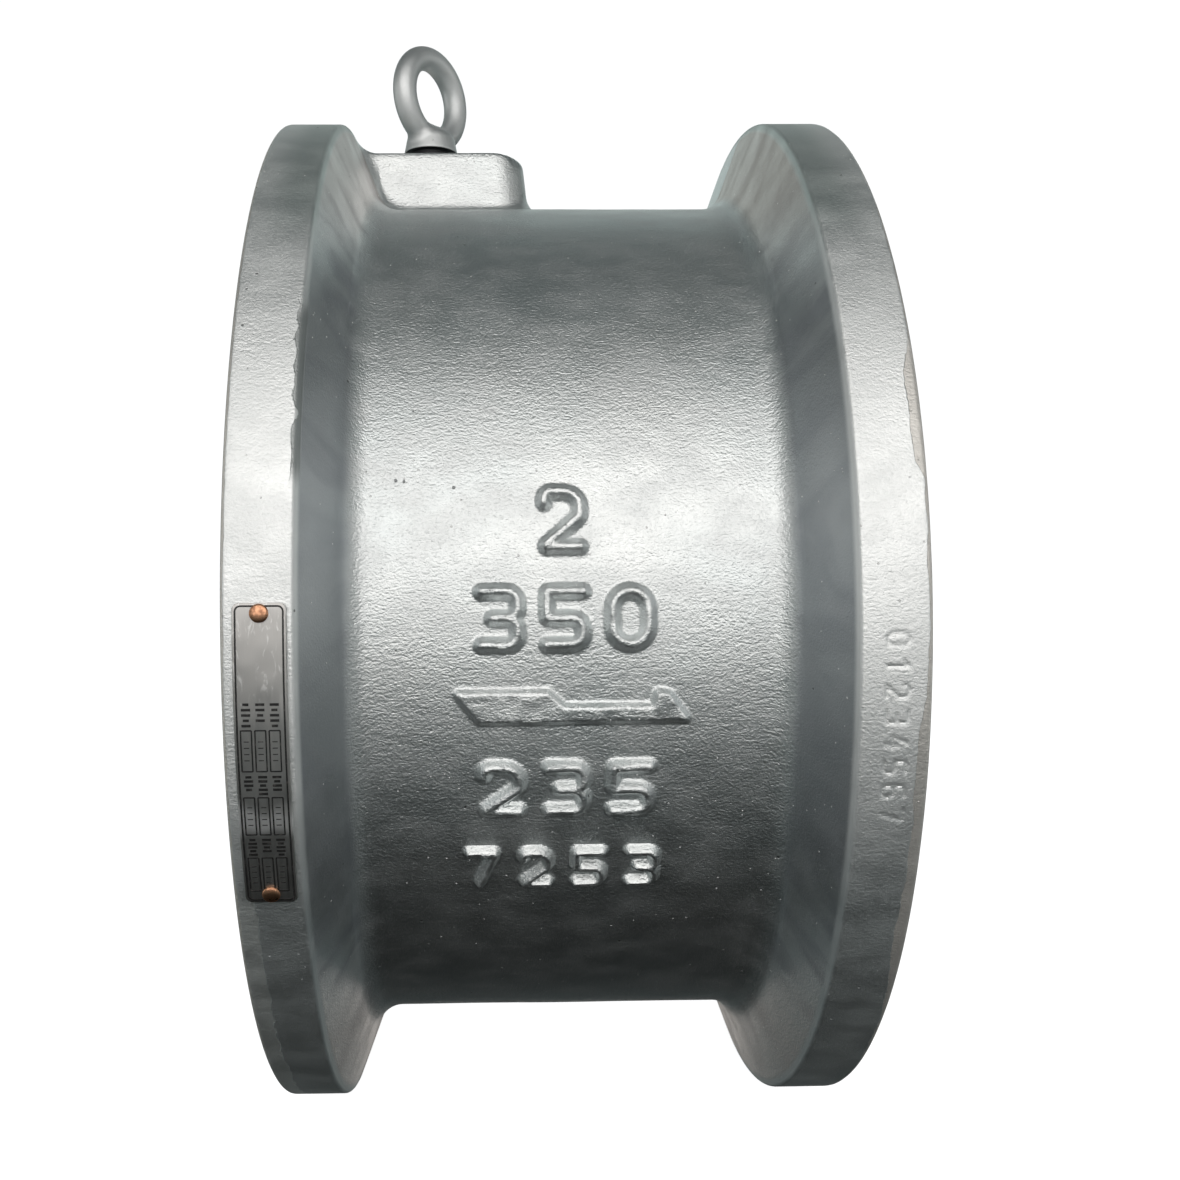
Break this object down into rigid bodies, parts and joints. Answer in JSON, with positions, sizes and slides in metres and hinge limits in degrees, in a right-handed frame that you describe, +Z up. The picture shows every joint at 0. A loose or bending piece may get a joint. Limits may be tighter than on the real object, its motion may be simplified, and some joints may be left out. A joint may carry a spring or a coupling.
{
  "type": "wafer check valve",
  "caption": "Dual-plate wafer check valve: spool body with a lifting eye, and two spring-closed half-disc plates on a vertical hinge pin.",
  "frame": {"origin": "on the flow axis, midway between the two gasket faces", "axes": "+X is the flow direction, from inlet to outlet; +Z is up, towards the lifting eye and along the hinge pin; +Y completes the frame"},
  "size_m": [0.165, 0.3225, 0.3575],
  "materials": {
    "silver_paint": "silver paint over sand casting",
    "eyebolt_paint": "silver paint over forging",
    "cast_stainless": "shot-blasted cast stainless",
    "machined_stainless": "turned",
    "spring_wire": "drawn wire",
    "seat_alloy": "lapped hard facing",
    "plug_steel": "dull",
    "nameplate_metal": "brushed, engraved",
    "rivet_copper": "bright"
  },
  "bodies": {
    "valve_body": {"body": "silver_paint", "seat_facing": "seat_alloy", "hinge_pin": "machined_stainless", "stop_pin": "machined_stainless", "hinge_pin_plug": "plug_steel", "stop_pin_plug": "plug_steel", "upper_spring": "spring_wire", "lower_spring": "spring_wire", "upper_body_bearing": "machined_stainless", "lower_body_bearing": "machined_stainless", "upper_plate_bearing": "machined_stainless", "lower_plate_bearing": "machined_stainless", "upper_spring_bearing": "machined_stainless", "lower_spring_bearing": "machined_stainless", "centre_spring_bearing": "machined_stainless", "eyebolt": "eyebolt_paint", "nameplate": "nameplate_metal", "upper_nameplate_rivet": "rivet_copper", "lower_nameplate_rivet": "rivet_copper"},
    "front_half": {"front_plate": "cast_stainless"},
    "rear_half": {"rear_plate": "cast_stainless"}
  },
  "joints": [
    {"name": "front_plate_swing", "type": "hinge", "parent": "valve_body", "child": "front_half", "pos_m": [-0.024, 0, 0], "axis": [0, 0, 1], "range_deg": [0, 80], "stiffness_Nm_per_rad": 2, "springref_deg": -57.3, "deforming": ["upper_spring"]},
    {"name": "rear_plate_swing", "type": "hinge", "parent": "valve_body", "child": "rear_half", "pos_m": [-0.024, 0, 0], "axis": [0, 0, -1], "range_deg": [0, 80], "stiffness_Nm_per_rad": 2, "springref_deg": -57.3, "deforming": ["lower_spring"]}
  ]
}
